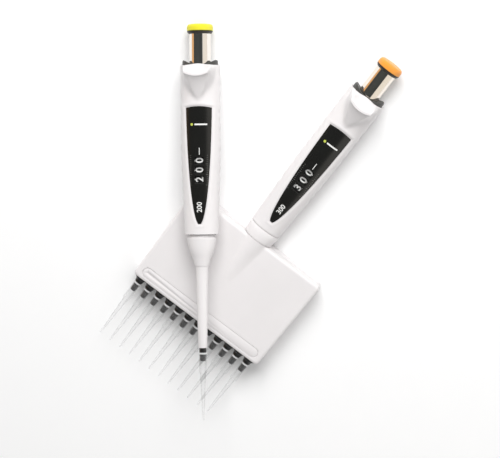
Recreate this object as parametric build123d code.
from build123d import *
import os
from math import asin, cos, degrees, radians, sin, sqrt

# A set of two hand pipettes at rest on a table: a twelve-channel one that lies on the
# flat back of its tip module, and a single-channel one that leans across its corner.
#
# Each pipette is modelled upright in its own frame: +Z runs along its axis towards the
# push cap, -Y is the front with the finger hook and the label, and Z = 0 is the plane
# of the handle's foot. The last section lays both in the frame of the set.
# All sizes are millimetres.

# ---- handle, the same on both pipettes ----
handle_height = 120.0
handle_half_width = 14.15
handle_half_depth = 11.6
foot_side_step = 1.95
foot_front_step = 0.8
taper_height = 60.0
shell_wall = 1.5
rim_wall = 1.1
rim_zone = 26.0
floor_thickness = 2.0
bulkhead_thickness = 3.0
bulkhead_fit = 0.2

# ---- finger hook on the front of the handle ----
hook_stand_out = 12.4
hook_drop = 6.6
hook_lip = 1.6
hook_lip_setback = 0.4
hook_root_depth = 0.7
hook_inner_depth = 4.0
hook_height = 27.0
hook_side_step = 1.15

# ---- label panel and the windows in it ----
label_below_hook = 2.0
label_apex = 7.0
label_centre_above_top = 16.0
label_border = 4.52
label_depth = 0.8
label_proud = 0.12
window_width = 6.0
window_height = 5.0

# ---- number drums and the volume stop ----
drum_pitch = 6.75
drum_gap = 0.3
drum_front_gap = 1.1
units_height = 52.6
axle_clearance = 3.0
axle_wall = 1.0
drum_fit = 0.06
axle_below_drums = 3.0
axle_above_drums = 2.0
stop_nut_fit = 0.08
stop_nut_length = 11.0
stop_nut_drop = 1.0

# ---- push button ----
cap_overhang = 1.65
cap_height = 5.0
button_stand_out = 29.5
cap_round = 1.3
cap_wall = 1.4
cap_top_wall = 2.0
cap_plug_drop = 3.0
cap_plug_bore = 4.0
cap_boss_radius = 4.2
cap_boss_top_wall = 1.0
rod_socket_top_wall = 2.5
rim_height = 2.2
rim_inset = 0.15
rim_low_lip = 0.25
sleeve_radius = 7.7
sleeve_wall = 0.7
sleeve_inside_handle = 28.0
rod_radius = 2.0
rod_fit = 0.06
collar_side_gap = 1.0
collar_inset = 0.2
collar_thickness = 1.5
press_travel = 15.5
blowout_travel = 3.0

# ---- springs ----
main_wire = 0.9
main_spring_inset = 0.8
main_turns = 9
blowout_wire = 0.8
blowout_spring_gap = 1.3
blowout_turns = 6
ejector_wire = 0.7
ejector_spring_gap = 0.85
ejector_turns = 5

# ---- tip ejector ----
eject_travel = 9.5
saddle_clearance = 0.3
saddle_bore_clearance = 0.3
saddle_below_rim = 8.0
seat_above_rim = 0.8
lobe_above_rim = 3.8
saddle_round = 1.0
strip_drum_gap = 0.35
strip_thickness = 0.8
strip_width = 4.0
slot_clearance = 0.3
guide_above_sleeve_end = 2.0
guide_thickness = 2.0
eject_disc_thickness = 1.5
push_tube_clearance = 1.0
push_tube_wall = 1.2
push_tube_end = 2.0
joint_overlap = 0.5

# ---- single-channel lower half ----
sleeve_gap = 0.5
ejector_wall = 0.75
ejector_end_wall = 0.4
funnel_length = 23.2
funnel_stations = ((0.5, 10.45), (9.0, 9.25), (13.0, 7.85), (17.0, 6.35), (funnel_length, 4.8))
tube_end = 81.6
tube_side_gap = 0.25
barrel_top_radius = 6.0
barrel_shoulder = 8.0
barrel_neck = 18.0
barrel_neck_wall = 1.5
barrel_flange_radius = 8.0
barrel_flange_thickness = 2.0
barrel_bore_gap = 0.3
single_cone_radius = 2.5
single_cone_taper = 0.4
single_cone_show = 3.4
single_cone_length = 6.1
single_tip_length = 48.9
single_step_at = 11.0
single_knee_radius = 2.35
single_piston_radius = 2.25
single_piston_top = 5.0
single_piston_length = 30.0
single_seal_drop = 4.0
stroke_spare = 3.0

# ---- twelve-channel lower half ----
channel_count = 12
channel_pitch = 9.0
ring_length = 10.2
ring_low_radius = 11.4
ring_bore_radius = 8.06
flange_pocket = 3.0
flange_width = 1.4
flange_edge_gap = 0.31
flange_top = 1.0
swivel_gap = 0.3
swivel_fit = 0.06
neck_bore_radius = 5.0
neck_plate_half = 10.0
module_side_margin = 8.25
module_side_taper = 1.3
module_length = 75.9
module_front_depth = 8.2
module_back_depth = 11.8
module_wall = 1.8
module_corner = 3.0
least_corner = 1.0
module_edge_round = 2.0
module_seam = 1.8
fairing_step = 0.2
fairing_length = 34.0
strip_cover_margin = 4.7
strip_cover_height = 7.2
strip_cover_above_end = 7.0
strip_cover_depth = 0.6
strip_cover_gap = 0.12
pip_radius = 0.6
yoke_gap = 0.1
yoke_thickness = 3.0
yoke_margin = 3.0
post_radius = 1.5
post_offset = 27.0
post_back = 6.5
bar_thickness = 5.0
bar_depth = 8.0
bar_margin = 3.0
cylinder_wall = 0.5
cylinder_spare = 1.5
shelf_drop = 7.5
shelf_thickness = 2.5
shelf_border = 0.8
multi_piston_radius = 2.75
multi_piston_length = 25.0
comb_gap = 0.3
comb_plate = 1.3
comb_front = 4.3
comb_margin = 4.4
comb_bore_gap = 0.2
collar_length = 3.3
collar_foot_radius = 4.25
collar_waist_drop = 1.2
collar_waist_wall = 0.75
collar_end_wall = 0.4
multi_cone_radius = 2.4
multi_cone_taper = 0.4
multi_cone_show = 5.4
multi_cone_length = 7.2
multi_tip_length = 48.7
multi_step_at = 12.2
multi_knee_radius = 2.05
screw_from_end_channel = 4.5
screw_drop = 8.1
screw_radius = 1.0
screw_head_radius = 2.2
screw_head_height = 1.2
screw_head_gap = 0.2
screw_sink = 0.5
screw_boss_radius = 3.0
screw_bite = 1.5
cross_length = 2.4
cross_width = 0.5
cross_depth = 0.6

# ---- shared small fits ----
piston_fit = 0.05
seal_fit = 0.02
seal_height = 2.0
seal_width = 0.65
tip_fit = 0.05
tip_wall = 0.45
tip_rim_height = 0.9
tip_rim_lip = 0.2
tip_chamfer = 0.3
tip_draw_in = 0.25
tip_step_width = 0.15
tip_step_height = 3.3
tip_end_radius = 0.62
tip_bore_radius = 0.3
filter_length = 3.0
filter_radius = 1.4
air_bore_radius = 0.8
part_gap = 0.3
through = 1.0
far = 300.0

# ---- how the two lie on the table ----
single_east = -34.5
single_north = 21.2
single_turn = 38.3
lean_gap = 0.25

# ---- values that follow from the ones above ----
foot_half_width = handle_half_width - foot_side_step
foot_half_depth = handle_half_depth - foot_front_step
hook_reach = handle_half_depth + hook_stand_out
hook_half_width = handle_half_width - hook_side_step
label_top = handle_height - hook_height - label_below_hook
label_middle = label_top + label_centre_above_top
label_semi_height = label_middle - label_apex
label_half_width = handle_half_width - label_border
cap_radius = sleeve_radius + cap_overhang
cap_top = handle_height + button_stand_out
cap_low = cap_top - cap_height
rim_low = cap_low - rim_height
sleeve_low = handle_height - sleeve_inside_handle
collar_radius = sleeve_radius - sleeve_wall - collar_side_gap
collar_top = sleeve_low - collar_inset
collar_low = collar_top - collar_thickness
drum_radius = handle_half_depth - shell_wall - drum_front_gap
axle_inner_radius = rod_radius + axle_clearance
axle_outer_radius = axle_inner_radius + axle_wall
drum_heights = [units_height - drum_pitch * i for i in range(3)]
axle_low = drum_heights[2] - drum_pitch / 2 - axle_below_drums
axle_high = drum_heights[0] + drum_pitch / 2 + axle_above_drums
upper_bulkhead_top = axle_high + bulkhead_thickness
guide_height = sleeve_low + guide_above_sleeve_end
saddle_low = handle_height - saddle_below_rim
saddle_seat = handle_height + seat_above_rim
saddle_lobe_top = handle_height + lobe_above_rim
saddle_half_width = handle_half_width - rim_wall - saddle_clearance
saddle_half_depth = handle_half_depth - rim_wall - saddle_clearance
strip_inner = drum_radius + strip_drum_gap
eject_disc_low = floor_thickness + eject_travel + part_gap
push_tube_inner = rod_radius + push_tube_clearance
push_tube_outer = push_tube_inner + push_tube_wall
tube_end_radius = single_cone_radius + tube_side_gap + ejector_end_wall
single_tip_top = tube_end + single_cone_show
single_cone_end = single_tip_top + single_cone_length
module_top = ring_length + swivel_gap
module_low = module_top + module_length
channel_places = [(i - (channel_count - 1) / 2) * channel_pitch for i in range(channel_count)]
last_channel = channel_places[-1]
module_half_top = last_channel + module_side_margin
module_half_low = module_half_top - module_side_taper
strip_cover_half = module_half_low - strip_cover_margin
strip_cover_centre = module_low - strip_cover_above_end
yoke_top = module_top + 2 * module_wall + yoke_gap
yoke_low = yoke_top + yoke_thickness
bar_top = yoke_low + eject_travel + part_gap
bar_low = bar_top + bar_thickness
cylinder_radius = multi_piston_radius + seal_width + cylinder_wall
cylinder_top = bar_low + press_travel + cylinder_spare
stroke_bottom = bar_low + multi_piston_length + press_travel + cylinder_spare
comb_top = module_low + comb_gap
multi_tip_top = module_low + multi_cone_show
multi_cone_end = multi_tip_top + multi_cone_length
screw_offset = last_channel - screw_from_end_channel
screw_height = module_top + screw_drop


def tube(outer, inner, low, high):
    """A round tube about the axis between two heights."""
    middle = (low + high) / 2
    body = Pos(0, 0, middle) * Cylinder(outer, high - low)
    return body - Pos(0, 0, middle) * Cylinder(inner, high - low + 2 * through)


def rod(radius, low, high):
    """A round bar about the axis between two heights."""
    return Pos(0, 0, (low + high) / 2) * Cylinder(radius, high - low)


def box_between(x, y, z):
    """A box given by its low and high limits on each axis."""
    centre = [(low + high) / 2 for low, high in (x, y, z)]
    return Pos(*centre) * Box(x[1] - x[0], y[1] - y[0], z[1] - z[0])


def turned(points):
    """A solid of revolution from (radius, height) corners."""
    outline = make_face(Polyline(*points, close=True))
    return revolve(Plane.XZ * outline, Axis.Z)


def handle_body(inset):
    """The oval handle as a solid, its wall moved inwards by the inset."""
    foot = Ellipse(foot_half_width - inset, foot_half_depth - inset)
    waist = Ellipse(handle_half_width - inset, handle_half_depth - inset)
    lower = loft([foot, Pos(0, 0, taper_height) * waist], ruled=True)
    upper = extrude(Pos(0, 0, taper_height) * waist, handle_height - taper_height)
    return lower + upper


def slab(low, high):
    """All space between two heights."""
    return box_between((-far, far), (-far, far), (low, high))


def front_space():
    return box_between((-far, far), (-far, 0), (-far, far))


def back_space():
    return box_between((-far, far), (0, far), (-far, far))


def hook_body():
    """The finger hook: a sloping rest with a lip, scooped out below for the finger."""
    wall = -handle_half_depth
    lip_top = handle_height - hook_drop
    lip_low = (hook_lip_setback - hook_reach, lip_top - hook_lip)
    root = (wall + hook_root_depth, handle_height - hook_height)
    scoop_turn = sqrt(0.5)
    scoop_mid = (
        lip_low[0] + (root[0] - lip_low[0]) * scoop_turn,
        root[1] + (lip_low[1] - root[1]) * scoop_turn,
    )
    inside = wall + hook_inner_depth
    outline = Polyline(
        root, (inside, root[1]), (inside, handle_height), (wall, handle_height),
        (-hook_reach, lip_top), lip_low,
    )
    profile = make_face([outline, ThreePointArc(lip_low, scoop_mid, root)])
    bar = extrude(Plane.YZ * profile, handle_half_width, both=True)
    plan = Ellipse(hook_half_width, hook_reach)
    return bar & extrude(Pos(0, 0, root[1] - through) * plan, hook_height + 2 * through)


def label_block():
    """The bullet outline of the label, run forwards through the front wall."""
    ellipse = Pos(0, label_middle) * Ellipse(label_half_width, label_semi_height)
    below_top = Pos(0, label_top - label_semi_height / 2) * Rectangle(far, label_semi_height)
    return extrude(Plane.XZ * (ellipse & below_top), 2 * handle_half_depth)


def windows():
    """One rectangular window in front of each number drum."""
    depth = (-2 * handle_half_depth, drum_front_gap - drum_radius)
    half = window_width / 2
    reach = window_height / 2
    spans = [(height - reach, height + reach) for height in drum_heights]
    return [box_between((-half, half), depth, span) for span in spans]


def label_panel():
    skin = handle_body(-label_proud) - handle_body(label_depth)
    return (skin & label_block()) - windows()


def handle_cavity():
    """The hollow of the handle, with a thinner wall round the ejector saddle."""
    thin = handle_body(rim_wall) & slab(handle_height - rim_zone, handle_height + through)
    return handle_body(shell_wall) + thin


def front_shell():
    shell = handle_body(0) + hook_body()
    shell = shell - handle_cavity() - windows()
    shell = shell - (label_block() - handle_body(label_depth))
    return shell & front_space()


def strip_slot():
    """Room for the ejector strip in the floor and the bulkheads."""
    half = strip_width / 2 + slot_clearance
    inner = strip_inner - slot_clearance
    outer = strip_inner + strip_thickness + slot_clearance
    return box_between((inner, outer), (-half, half), (-through, handle_height))


def bulkhead(low, high, bore):
    """A cross wall that grows out of the back shell and stops short of the front one."""
    rooted = handle_body(shell_wall / 2) & slab(low, high) & back_space()
    free = handle_body(shell_wall + bulkhead_fit) & slab(low, high)
    return rooted + free - rod(bore, low - through, high + through)


def back_shell(floor_bore):
    shell = (handle_body(0) - handle_cavity()) & back_space()
    shell = shell + bulkhead(0, floor_thickness, floor_bore)
    shell = shell + bulkhead(axle_low - bulkhead_thickness, axle_low, rod_radius + part_gap)
    shell = shell + bulkhead(axle_high, upper_bulkhead_top, rod_radius + part_gap)
    guide_bore = sleeve_radius + saddle_bore_clearance
    shell = shell + bulkhead(guide_height, guide_height + guide_thickness, guide_bore)
    shell = shell + tube(axle_outer_radius, axle_inner_radius, axle_low, axle_high)
    return shell - strip_slot()


def number_drum(height):
    half = (drum_pitch - drum_gap) / 2
    return tube(drum_radius, axle_outer_radius + drum_fit, height - half, height + half)


def stop_nut():
    high = axle_high - stop_nut_drop
    outer = axle_inner_radius - stop_nut_fit
    return tube(outer, rod_radius + part_gap, high - stop_nut_length, high)


def push_cap():
    """The coloured cap: a domed disc that closes the sleeve, with a socket for the rod."""
    cap = rod(cap_radius, cap_low, cap_top)
    cap = fillet(cap.edges().group_by(Axis.Z)[-1], cap_round)
    cap = cap - rod(cap_radius - cap_wall, cap_low - through, cap_top - cap_height / 2)
    plug_low = cap_low - cap_plug_drop
    cap = cap + tube(sleeve_radius - sleeve_wall, cap_plug_bore, plug_low, cap_top - cap_top_wall)
    cap = cap + rod(cap_boss_radius, cap_low, cap_top - cap_boss_top_wall)
    return cap - rod(rod_radius + rod_fit, plug_low - through, cap_top - rod_socket_top_wall)


def button_rim():
    """The dark ring under the cap, tapering down to the sleeve."""
    inner = sleeve_radius
    corners = [
        (inner, rim_low), (inner + rim_low_lip, rim_low),
        (cap_radius - rim_inset, cap_low), (inner, cap_low),
    ]
    return turned(corners)


def button_sleeve():
    """The bright tube that slides in the handle under the thumb."""
    return tube(sleeve_radius, sleeve_radius - sleeve_wall, sleeve_low, cap_low)


def plunger_rod(low):
    shaft = rod(rod_radius, low, cap_top - rod_socket_top_wall - part_gap)
    return shaft + rod(collar_radius, collar_low, collar_top)


def coil(radius, wire, low, high, turns):
    """A compression spring between two heights, with its wire centred on the radius."""
    path = Helix(pitch=(high - low - wire) / turns, height=high - low - wire, radius=radius)
    wire_section = Plane(path @ 0, z_dir=path % 0) * Circle(wire / 2)
    return Pos(0, 0, low + wire / 2) * sweep(wire_section, path=path)


def main_spring():
    radius = collar_radius - main_spring_inset
    return coil(radius, main_wire, upper_bulkhead_top, collar_low, main_turns)


def blowout_spring():
    high = collar_low - press_travel + blowout_travel
    radius = rod_radius + blowout_spring_gap
    return coil(radius, blowout_wire, upper_bulkhead_top, high, blowout_turns)


def ejector_spring():
    radius = sleeve_radius + ejector_spring_gap
    return coil(radius, ejector_wire, guide_height + guide_thickness, saddle_low, ejector_turns)


def ejector_saddle(low_end):
    """The dished ring round the sleeve, raised left and right, and its push strip."""
    ring = extrude(Pos(0, 0, saddle_low) * Ellipse(saddle_half_width, saddle_half_depth),
                   saddle_lobe_top - saddle_low)
    ring = fillet(ring.edges().group_by(Axis.Z)[-1], saddle_round)
    rise = saddle_lobe_top - saddle_seat
    dish_radius = (saddle_half_width ** 2 + rise ** 2) / (2 * rise)
    dish = Pos(0, 0, saddle_seat + dish_radius) * Rot(90, 0, 0) * Cylinder(dish_radius, far)
    ring = ring - dish
    bore = sleeve_radius + saddle_bore_clearance
    ring = ring - rod(bore, saddle_low - through, saddle_lobe_top + through)
    half = strip_width / 2
    reach = (strip_inner, strip_inner + strip_thickness)
    return ring + box_between(reach, (-half, half), (low_end, saddle_low + 2 * joint_overlap))


def multi_saddle():
    """The same saddle with the disc and short tube that reach the swivelling module."""
    disc_high = eject_disc_low + eject_disc_thickness
    saddle = ejector_saddle(disc_high - joint_overlap)
    disc_half_depth = foot_half_depth - shell_wall - 2 * part_gap
    disc = Ellipse(strip_inner + strip_thickness, disc_half_depth)
    disc = extrude(Pos(0, 0, eject_disc_low) * disc, eject_disc_thickness)
    push = rod(push_tube_outer, -push_tube_end, eject_disc_low + joint_overlap)
    body = saddle + disc + push
    return body - rod(push_tube_inner, -push_tube_end - through, disc_high + through)


def funnel_curve(inset):
    """The side of the ejector sleeve's funnel, moved inwards by the inset."""
    points = [(radius - inset, -depth) for depth, radius in funnel_stations]
    last_slope = (tube_end_radius - points[-1][0] - inset, -(tube_end - funnel_length))
    return points, Spline(*points, tangents=[(0, -1), last_slope])


def single_ejector_sleeve():
    """The funnel and long tube that push the tip off."""
    outer_points, outer = funnel_curve(0)
    inner_points, inner = funnel_curve(ejector_wall)
    outer_end = (tube_end_radius, -tube_end)
    inner_end = (tube_end_radius - ejector_end_wall, -tube_end)
    outline = [
        outer, Line(outer_points[-1], outer_end), Line(outer_end, inner_end),
        Line(inner_end, inner_points[-1]), inner, Line(inner_points[0], outer_points[0]),
    ]
    return revolve(Plane.XZ * make_face(outline), Axis.Z)


def single_barrel():
    """The cylinder that hangs from the handle's floor and ends in the tip cone."""
    seat = floor_thickness
    flange_high = seat + barrel_flange_thickness
    neck_radius = single_piston_radius + barrel_neck_wall
    barrel = turned([
        (0, flange_high), (barrel_flange_radius, flange_high),
        (barrel_flange_radius, seat), (barrel_top_radius, seat),
        (barrel_top_radius, -barrel_shoulder), (neck_radius, -barrel_neck),
        (single_cone_radius, -tube_end), (single_cone_radius, -single_tip_top),
        (single_cone_radius - single_cone_taper, -single_cone_end), (0, -single_cone_end),
    ])
    seal_low = -(single_piston_top + single_seal_drop + seal_height)
    stroke_end = -(single_piston_top + single_piston_length + press_travel + stroke_spare)
    open_end = -single_cone_end - through
    barrel = barrel - rod(single_piston_radius + barrel_bore_gap, seal_low + seal_height,
                          flange_high + through)
    barrel = barrel - rod(single_piston_radius + seal_width, seal_low, seal_low + seal_height)
    barrel = barrel - rod(single_piston_radius + piston_fit, stroke_end, seal_low)
    barrel = barrel - rod(air_bore_radius, open_end, stroke_end)
    return barrel - rod(filter_radius, open_end, filter_length - single_cone_end)


def seal_ring(piston_radius, high):
    """A rubber ring that the piston runs through."""
    return tube(piston_radius + seal_width, piston_radius + seal_fit, high - seal_height, high)


def cone_filter(cone_end):
    return rod(filter_radius, -cone_end, filter_length - cone_end)


def disposable_tip(cone_radius, cone_taper, cone_length, length, step_at, knee_radius):
    """A thin tapered tip, its mouth at height 0, with a rim, a step and an open end."""
    mouth = cone_radius + tip_fit
    shoulder = mouth + tip_wall
    drawn_in = shoulder - tip_draw_in
    step_low = -step_at - tip_chamfer - tip_step_height + tip_chamfer
    knee_at = step_low - tip_chamfer
    return turned([
        (mouth, 0), (shoulder + tip_rim_lip, 0), (shoulder + tip_rim_lip, -tip_rim_height),
        (shoulder, -tip_rim_height - tip_chamfer), (drawn_in, -step_at),
        (drawn_in + tip_step_width, -step_at - tip_chamfer), (drawn_in + tip_step_width, step_low),
        (knee_radius, knee_at), (tip_end_radius, -length), (tip_bore_radius, -length),
        (knee_radius - tip_wall, knee_at), (cone_radius - cone_taper + tip_fit, -cone_length),
    ])


def single_tip():
    tip = disposable_tip(single_cone_radius, single_cone_taper, single_cone_length,
                         single_tip_length, single_step_at, single_knee_radius)
    return Pos(0, 0, -single_tip_top) * tip


def multi_tip(place):
    tip = disposable_tip(multi_cone_radius, multi_cone_taper, multi_cone_length,
                         multi_tip_length, multi_step_at, multi_knee_radius)
    return Pos(place, 0, -multi_tip_top) * tip


def swivel_ring():
    """The short collar that closes the handle's foot and turns on the module's neck."""
    top = Ellipse(foot_half_width, foot_half_depth)
    ring = loft([Pos(0, 0, -ring_length) * Circle(ring_low_radius), top], ruled=True)
    ring = ring - rod(ring_bore_radius, -ring_length - through, through)
    return ring - rod(ring_bore_radius + flange_width, -flange_pocket, through)


def swivel_neck():
    """The hollow neck of the module, held in the ring by its upper flange."""
    wall_low = module_top + module_wall
    radius = ring_bore_radius - swivel_fit
    flange_radius = ring_bore_radius + flange_width - flange_edge_gap
    neck = rod(radius, -wall_low, -flange_pocket + part_gap)
    neck = neck + rod(flange_radius, -flange_pocket + part_gap, -flange_top)
    plate = box_between(
        (-neck_plate_half, neck_plate_half),
        (module_wall - module_front_depth, module_back_depth - module_wall),
        (-wall_low - module_wall + yoke_gap, -wall_low),
    )
    return neck + plate - rod(neck_bore_radius, -yoke_top, 0)


def module_block(inset):
    """The flat tip module as a solid, its walls moved inwards by the inset."""
    top = -module_top - inset
    low = -module_low + inset
    top_half = module_half_top - inset
    low_half = module_half_low - inset
    plan = make_face(Polyline((-top_half, top), (top_half, top), (low_half, low), (-low_half, low),
                              close=True))
    plan = fillet(plan.vertices(), max(module_corner - inset, least_corner))
    depth = module_front_depth + module_back_depth - 2 * inset
    return extrude(Plane.XZ.offset(inset - module_back_depth) * plan, depth)


def fairing(inset):
    """The half cone that runs from the swivel ring down into the front face."""
    end = module_top + fairing_length
    corners = [
        (0, -module_top - inset), (ring_low_radius - fairing_step - inset, -module_top - inset),
        (module_front_depth - inset, -end), (0, -end),
    ]
    return turned(corners) & front_space()


def module_shell():
    block = module_block(0)
    front = block.faces().sort_by(Axis.Y)[0].edges()
    back = block.faces().sort_by(Axis.Y)[-1].edges()
    block = fillet(front + back, module_edge_round)
    shell = block + fairing(0) - module_block(module_wall) - fairing(module_wall)
    shell = shell - rod(ring_bore_radius - swivel_fit, -module_top - module_wall, -module_top)
    for place in channel_places:
        neck = rod(multi_cone_radius, -module_low - through, -module_low + module_wall + through)
        shell = shell - Pos(place, 0, 0) * neck
    return shell - post_holes(-module_low - through, -module_low + module_wall + through)


def post_holes(low, high):
    """Clearance holes for the two posts of the ejector comb."""
    hole = rod(post_radius + part_gap, low, high)
    return [Pos(side * post_offset, post_back, 0) * hole for side in (-1, 1)]


def along_y(radius, x, z, low, high):
    """A round bar that runs front to back."""
    return Pos(x, (low + high) / 2, z) * Rot(90, 0, 0) * Cylinder(radius, high - low)


def strip_cover_plate(grow):
    """The obround strip near the module's lower edge."""
    plate = SlotOverall(2 * (strip_cover_half + grow), strip_cover_height + 2 * grow)
    face = Plane.XZ.offset(module_front_depth - strip_cover_depth) * Pos(0, -strip_cover_centre) * plate
    return extrude(face, strip_cover_depth)


def module_front_cover():
    cover = module_shell() & box_between((-far, far), (-far, module_seam), (-far, 0))
    cover = cover - strip_cover_plate(strip_cover_gap)
    face = module_wall - module_front_depth
    for x in (-screw_offset, screw_offset):
        boss = along_y(screw_boss_radius, x, -screw_height, face - joint_overlap, module_seam)
        pilot = along_y(screw_radius, x, -screw_height, face + screw_bite, module_seam + through)
        cover = cover + boss - pilot
    return cover


def module_strip_cover():
    cover = strip_cover_plate(0)
    pip_place = strip_cover_height / 2 - strip_cover_half
    return cover - along_y(pip_radius, pip_place, -strip_cover_centre,
                           -module_front_depth - through, -module_front_depth + strip_cover_depth / 2)


def cylinder_shelf():
    """The shelf that steadies the cylinders, rooted in the back cover."""
    low = -cylinder_top - shelf_drop
    high = low + shelf_thickness
    front = -cylinder_radius - shelf_border
    rooted_half = module_half_low - module_wall / 2
    free_half = last_channel + cylinder_radius + shelf_border
    rooted = (module_seam, module_back_depth - module_wall / 2)
    shelf = box_between((-rooted_half, rooted_half), rooted, (low, high))
    shelf = shelf + box_between((-free_half, free_half), (front, module_seam), (low, high))
    for place in channel_places:
        shelf = shelf - Pos(place, 0, 0) * rod(cylinder_radius, low - through, high + through)
    return shelf - post_holes(low - through, high + through)


def module_back_cover():
    """The back half of the module, with the shelf and the sunk screw holes."""
    cover = module_shell() & box_between((-far, far), (module_seam, far), (-far, 0))
    cover = cover + cylinder_shelf()
    outside = module_back_depth + through
    head_low = module_back_depth - screw_head_height - screw_sink
    for x in (-screw_offset, screw_offset):
        cover = cover + along_y(screw_boss_radius, x, -screw_height, module_seam, head_low)
        cover = cover - along_y(screw_radius, x, -screw_height, module_seam - through, outside)
        cover = cover - along_y(screw_head_radius + screw_head_gap, x, -screw_height, head_low, outside)
    return cover


def module_screws():
    """The two screws that close the module from the back."""
    seat = module_back_depth - screw_head_height - screw_sink
    head_top = seat + screw_head_height
    tip = module_wall - module_front_depth + screw_bite
    slot_depth = (head_top - cross_depth, head_top + through)
    screws = []
    for x in (-screw_offset, screw_offset):
        shank = along_y(screw_radius, x, -screw_height, tip, seat + joint_overlap)
        head = along_y(screw_head_radius, x, -screw_height, seat, head_top)
        slot = box_between((-cross_length / 2, cross_length / 2), slot_depth,
                           (-cross_width / 2, cross_width / 2))
        middle = Pos(x, 0, -screw_height)
        screws.append(shank + head - middle * slot - middle * Rot(0, 90, 0) * slot)
    return Compound(children=screws)


def for_each_channel(solid):
    """One copy of a solid on every channel."""
    return Compound(children=[Pos(place, 0, 0) * solid for place in channel_places])


def multi_piston_bar():
    half = last_channel + bar_margin
    return box_between((-half, half), (-bar_depth / 2, bar_depth / 2), (-bar_low, -bar_top))


def multi_pistons():
    return for_each_channel(rod(multi_piston_radius, -bar_low - multi_piston_length, -bar_low))


def multi_tip_cones():
    """Twelve cylinders, each narrowing to the cone that takes a tip."""
    floor = -module_low + module_wall
    cone = turned([
        (0, -cylinder_top), (cylinder_radius, -cylinder_top), (cylinder_radius, floor),
        (multi_cone_radius, floor), (multi_cone_radius, -multi_tip_top),
        (multi_cone_radius - multi_cone_taper, -multi_cone_end), (0, -multi_cone_end),
    ])
    seat = -cylinder_top - seal_height
    open_end = -multi_cone_end - through
    cone = cone - rod(multi_piston_radius + seal_width, seat, -cylinder_top + through)
    cone = cone - rod(multi_piston_radius + piston_fit, -stroke_bottom, seat)
    cone = cone - rod(air_bore_radius, open_end, -stroke_bottom)
    cone = cone - rod(filter_radius, open_end, filter_length - multi_cone_end)
    return for_each_channel(cone)


def ejector_comb():
    """The plate with a collar round every cone, its two posts, the yoke and push tube."""
    bore = multi_cone_radius + comb_bore_gap
    plate_low = -comb_top - comb_plate
    collar_end = plate_low - collar_length
    reach = last_channel + comb_margin
    depth = (-comb_front, post_back + post_radius)
    comb = box_between((-reach, reach), depth, (plate_low, -comb_top))
    collar = turned([
        (0, plate_low + joint_overlap), (collar_foot_radius, plate_low + joint_overlap),
        (collar_foot_radius, plate_low), (bore + collar_waist_wall, plate_low - collar_waist_drop),
        (bore + collar_end_wall, collar_end), (0, collar_end),
    ])
    for place in channel_places:
        comb = comb + Pos(place, 0, 0) * collar
    for place in channel_places:
        comb = comb - Pos(place, 0, 0) * rod(bore, collar_end - through, through - comb_top)
    yoke_half_width = post_offset + yoke_margin
    yoke = box_between((-yoke_half_width, yoke_half_width), depth, (-yoke_low, -yoke_top))
    push = rod(push_tube_outer, -yoke_low, -push_tube_end - part_gap)
    comb = comb + yoke + push
    for side in (-1, 1):
        post = rod(post_radius, plate_low, -yoke_top)
        comb = comb + Pos(side * post_offset, post_back, 0) * post
    return comb - rod(push_tube_inner, -yoke_low - through, 0)


# ---- where each pipette lies in the frame of the set ----
multi_place = Location((0, module_top + module_length / 2, module_back_depth), (-90, 0, 0))


def single_lean():
    """The lean, in degrees, that rests the cap on the table and the handle on the module."""
    edge = module_length / 2
    reach = (edge - single_north) / cos(radians(single_turn))
    thickness = module_front_depth + module_back_depth + lean_gap
    lean = 0.0
    for _ in range(8):
        back = foot_half_depth + (handle_half_depth - foot_half_depth) * reach / taper_height
        rise = thickness - cap_round + (back - cap_radius + cap_round) * cos(lean)
        lean = asin(rise / (cap_top - cap_round - reach / cos(lean)))
    return lean


def single_location():
    lean = single_lean()
    turn = radians(single_turn)
    towards_cap = (-sin(turn) * cos(lean), cos(turn) * cos(lean), -sin(lean))
    height = (cap_radius - cap_round) * cos(lean) + (cap_top - cap_round) * sin(lean) + cap_round
    place = Plane(origin=(single_east, single_north, height), x_dir=(cos(turn), sin(turn), 0),
                  z_dir=towards_cap)
    return place.location


single_place = single_location()


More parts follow.
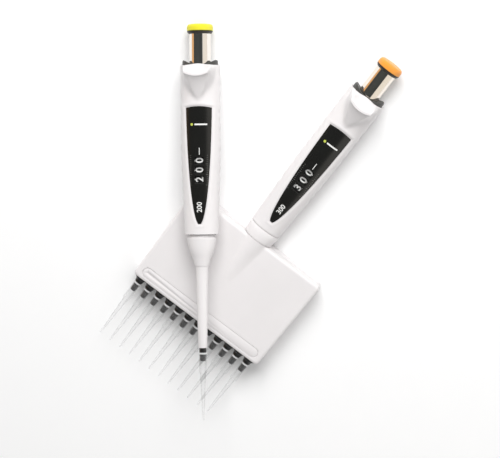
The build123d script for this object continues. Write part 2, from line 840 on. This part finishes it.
def handle_nodes(prefix, floor_bore, rod_low, saddle):
    """The pieces that both pipettes share."""
    return {
        prefix + "_push_cap": push_cap(),
        prefix + "_button_rim": button_rim(),
        prefix + "_button_sleeve": button_sleeve(),
        prefix + "_plunger_rod": plunger_rod(rod_low),
        prefix + "_ejector_saddle": saddle,
        prefix + "_front_shell": front_shell(),
        prefix + "_back_shell": back_shell(floor_bore),
        prefix + "_label_panel": label_panel(),
        prefix + "_drum_units": number_drum(drum_heights[0]),
        prefix + "_drum_tens": number_drum(drum_heights[1]),
        prefix + "_drum_hundreds": number_drum(drum_heights[2]),
        prefix + "_stop_nut": stop_nut(),
        prefix + "_main_spring": main_spring(),
        prefix + "_blowout_spring": blowout_spring(),
        prefix + "_ejector_spring": ejector_spring(),
    }


def single_nodes():
    piston = rod(single_piston_radius, -single_piston_top - single_piston_length, -single_piston_top)
    nodes = handle_nodes("single", barrel_top_radius, -single_piston_top, ejector_saddle(-sleeve_gap))
    nodes["single_ejector_sleeve"] = single_ejector_sleeve()
    nodes["single_barrel"] = single_barrel()
    nodes["single_piston"] = piston
    nodes["single_piston_seal"] = seal_ring(single_piston_radius, -single_piston_top - single_seal_drop)
    nodes["single_cone_filter"] = cone_filter(single_cone_end)
    nodes["single_tip"] = single_tip()
    return nodes


def multi_nodes():
    nodes = handle_nodes("multi", push_tube_outer + part_gap, part_gap - bar_top, multi_saddle())
    nodes["multi_swivel_ring"] = swivel_ring()
    nodes["multi_swivel_neck"] = swivel_neck()
    nodes["module_front_cover"] = module_front_cover()
    nodes["module_back_cover"] = module_back_cover()
    nodes["module_strip_cover"] = module_strip_cover()
    nodes["module_screws"] = module_screws()
    nodes["multi_piston_bar"] = multi_piston_bar()
    nodes["multi_pistons"] = multi_pistons()
    nodes["multi_piston_seals"] = for_each_channel(seal_ring(multi_piston_radius, -cylinder_top))
    nodes["multi_tip_cones"] = multi_tip_cones()
    nodes["multi_ejector_comb"] = ejector_comb()
    for number, place in enumerate(channel_places, start=1):
        nodes[f"tip_{number:02d}"] = multi_tip(place)
    return nodes


def write_nodes(nodes, place):
    for name, shape in nodes.items():
        export_step(shape.moved(place), f"parts/{name}.step")


os.makedirs("parts", exist_ok=True)
write_nodes(single_nodes(), single_place)
write_nodes(multi_nodes(), multi_place)
print("lean of the single-channel pipette, degrees:", round(degrees(single_lean()), 2))
